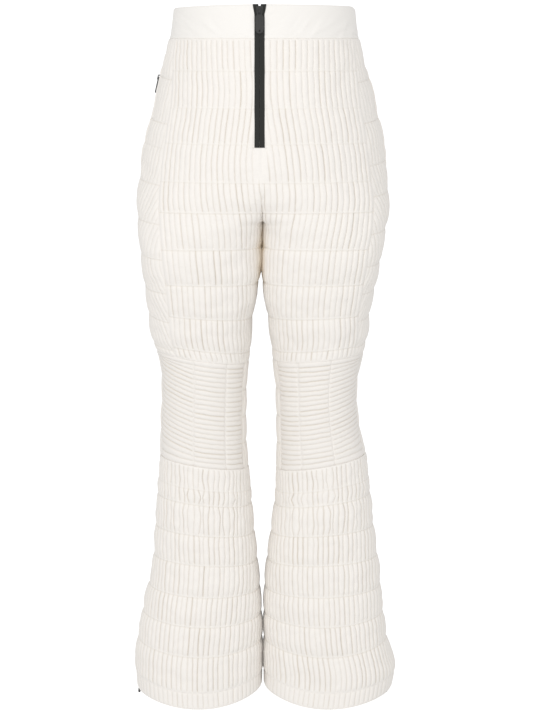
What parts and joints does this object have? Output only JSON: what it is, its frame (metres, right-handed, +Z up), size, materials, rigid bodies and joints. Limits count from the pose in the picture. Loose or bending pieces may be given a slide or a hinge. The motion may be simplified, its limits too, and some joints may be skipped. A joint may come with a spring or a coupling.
{
  "type": "ski pants",
  "caption": "High-waisted flared quilted ski pants with an exposed front zip, ribbed knee panels, zipped side pockets and ankle zips; the legs bend at hip and knee.",
  "frame": {"origin": "centre of the waistband's top edge", "axes": "+X to the wearer's left, -Y to the front, +Z up; the garment hangs below the origin"},
  "size_m": [0.385, 0.2397, 1.0418],
  "materials": {
    "quilted_fabric": "pleated and quilted, soft sheen",
    "ribbed_fabric": "fine horizontal ribs",
    "plain_fabric": "smooth woven, soft sheen",
    "lining_fabric": "smooth light lining",
    "ribbon": "satin ribbon",
    "zip_tape": "coated, matt",
    "zip_coil": "moulded",
    "zip_metal": "satin black lacquer"
  },
  "bodies": {
    "waist": {"waistband_front_left": "plain_fabric", "waistband_front_right": "plain_fabric", "waistband_back": "plain_fabric", "waistband_facing": "lining_fabric", "hanger_loops": "ribbon", "fly_guard": "lining_fabric", "hip_front_left": "quilted_fabric", "hip_front_right": "quilted_fabric", "hip_side_left": "quilted_fabric", "hip_side_right": "quilted_fabric", "seat_left": "quilted_fabric", "seat_right": "quilted_fabric", "hip_crease_left": "quilted_fabric", "hip_crease_right": "quilted_fabric", "crotch_gusset": "quilted_fabric", "pocket_bag_left": "lining_fabric", "pocket_bag_right": "lining_fabric", "front_zip_tape_left": "zip_tape", "front_zip_tape_right": "zip_tape", "front_zip_coil": "zip_coil", "front_zip_stops": "zip_coil", "pocket_zip_tape_left": "zip_tape", "pocket_zip_tape_right": "zip_tape", "pocket_zip_coil_left": "zip_coil", "pocket_zip_coil_right": "zip_coil"},
    "front_slider": {"front_zip_slider": "zip_metal"},
    "front_pull": {"front_zip_pull": "zip_metal"},
    "pocket_slider_left": {"pocket_zip_slider_left": "zip_metal"},
    "pocket_pull_left": {"pocket_zip_pull_left": "zip_metal"},
    "thigh_left": {"thigh_front_left": "quilted_fabric", "thigh_side_left": "quilted_fabric", "thigh_back_left": "quilted_fabric", "knee_panel_inner_left": "ribbed_fabric", "knee_panel_middle_left": "ribbed_fabric", "knee_panel_outer_left": "ribbed_fabric", "knee_back_left": "quilted_fabric"},
    "shin_left": {"shin_front_left": "quilted_fabric", "shin_back_left": "quilted_fabric", "hem_band_left": "quilted_fabric", "ankle_zip_tape_left": "zip_tape", "ankle_zip_coil_left": "zip_coil"},
    "ankle_slider_left": {"ankle_zip_slider_left": "zip_metal"},
    "ankle_pull_left": {"ankle_zip_pull_left": "zip_metal"},
    "pocket_slider_right": {"pocket_zip_slider_right": "zip_metal"},
    "pocket_pull_right": {"pocket_zip_pull_right": "zip_metal"},
    "thigh_right": {"thigh_front_right": "quilted_fabric", "thigh_side_right": "quilted_fabric", "thigh_back_right": "quilted_fabric", "knee_panel_inner_right": "ribbed_fabric", "knee_panel_middle_right": "ribbed_fabric", "knee_panel_outer_right": "ribbed_fabric", "knee_back_right": "quilted_fabric"},
    "shin_right": {"shin_front_right": "quilted_fabric", "shin_back_right": "quilted_fabric", "hem_band_right": "quilted_fabric", "ankle_zip_tape_right": "zip_tape", "ankle_zip_coil_right": "zip_coil"},
    "ankle_slider_right": {"ankle_zip_slider_right": "zip_metal"},
    "ankle_pull_right": {"ankle_zip_pull_right": "zip_metal"}
  },
  "joints": [
    {"name": "front_zip_slide", "type": "slide", "parent": "waist", "child": "front_slider", "axis": [0, -0.083, -0.9965], "range_m": [0, 0.174]},
    {"name": "front_pull_swing", "type": "hinge", "parent": "front_slider", "child": "front_pull", "pos_m": [-0.004, -0.09861, -0.0048], "axis": [-1, 0, 0], "range_deg": [0, 155]},
    {"name": "pocket_zip_slide_left", "type": "slide", "parent": "waist", "child": "pocket_slider_left", "axis": [0.2255, 0.015, -0.9741], "range_m": [0, 0.104]},
    {"name": "pocket_pull_swing_left", "type": "hinge", "parent": "pocket_slider_left", "child": "pocket_pull_left", "pos_m": [0.15101, 0.01368, -0.09938], "axis": [0.1608, -0.9867, 0.022], "range_deg": [0, 155]},
    {"name": "hip_left", "type": "hinge", "parent": "waist", "child": "thigh_left", "pos_m": [0.088, 0.005, -0.25], "axis": [-1, 0, 0], "range_deg": [0, 60], "deforming": ["hip_crease_left"]},
    {"name": "knee_left", "type": "hinge", "parent": "thigh_left", "child": "shin_left", "pos_m": [0.086, 0.008, -0.586], "axis": [1, 0, 0], "range_deg": [0, 90], "deforming": ["knee_panel_inner_left", "knee_panel_middle_left", "knee_panel_outer_left", "knee_back_left"]},
    {"name": "ankle_zip_slide_left", "type": "slide", "parent": "shin_left", "child": "ankle_slider_left", "axis": [-0.1073, -0.0052, 0.9942], "range_m": [0, 0.144]},
    {"name": "ankle_pull_swing_left", "type": "hinge", "parent": "ankle_slider_left", "child": "ankle_pull_left", "pos_m": [0.1876, 0.02877, -1.0148], "axis": [0.3534, -0.9349, 0.0333], "range_deg": [0, 155]},
    {"name": "pocket_zip_slide_right", "type": "slide", "parent": "waist", "child": "pocket_slider_right", "axis": [-0.2255, 0.015, -0.9741], "range_m": [0, 0.104]},
    {"name": "pocket_pull_swing_right", "type": "hinge", "parent": "pocket_slider_right", "child": "pocket_pull_right", "pos_m": [-0.15101, 0.01368, -0.09938], "axis": [0.1608, 0.9867, -0.022], "range_deg": [0, 155]},
    {"name": "hip_right", "type": "hinge", "parent": "waist", "child": "thigh_right", "pos_m": [-0.088, 0.005, -0.25], "axis": [-1, 0, 0], "range_deg": [0, 60], "deforming": ["hip_crease_right"]},
    {"name": "knee_right", "type": "hinge", "parent": "thigh_right", "child": "shin_right", "pos_m": [-0.086, 0.008, -0.586], "axis": [1, 0, 0], "range_deg": [0, 90], "deforming": ["knee_panel_inner_right", "knee_panel_middle_right", "knee_panel_outer_right", "knee_back_right"]},
    {"name": "ankle_zip_slide_right", "type": "slide", "parent": "shin_right", "child": "ankle_slider_right", "axis": [0.1073, -0.0052, 0.9942], "range_m": [0, 0.144]},
    {"name": "ankle_pull_swing_right", "type": "hinge", "parent": "ankle_slider_right", "child": "ankle_pull_right", "pos_m": [-0.1876, 0.02877, -1.0148], "axis": [0.3534, 0.9349, -0.0333], "range_deg": [0, 155]}
  ]
}
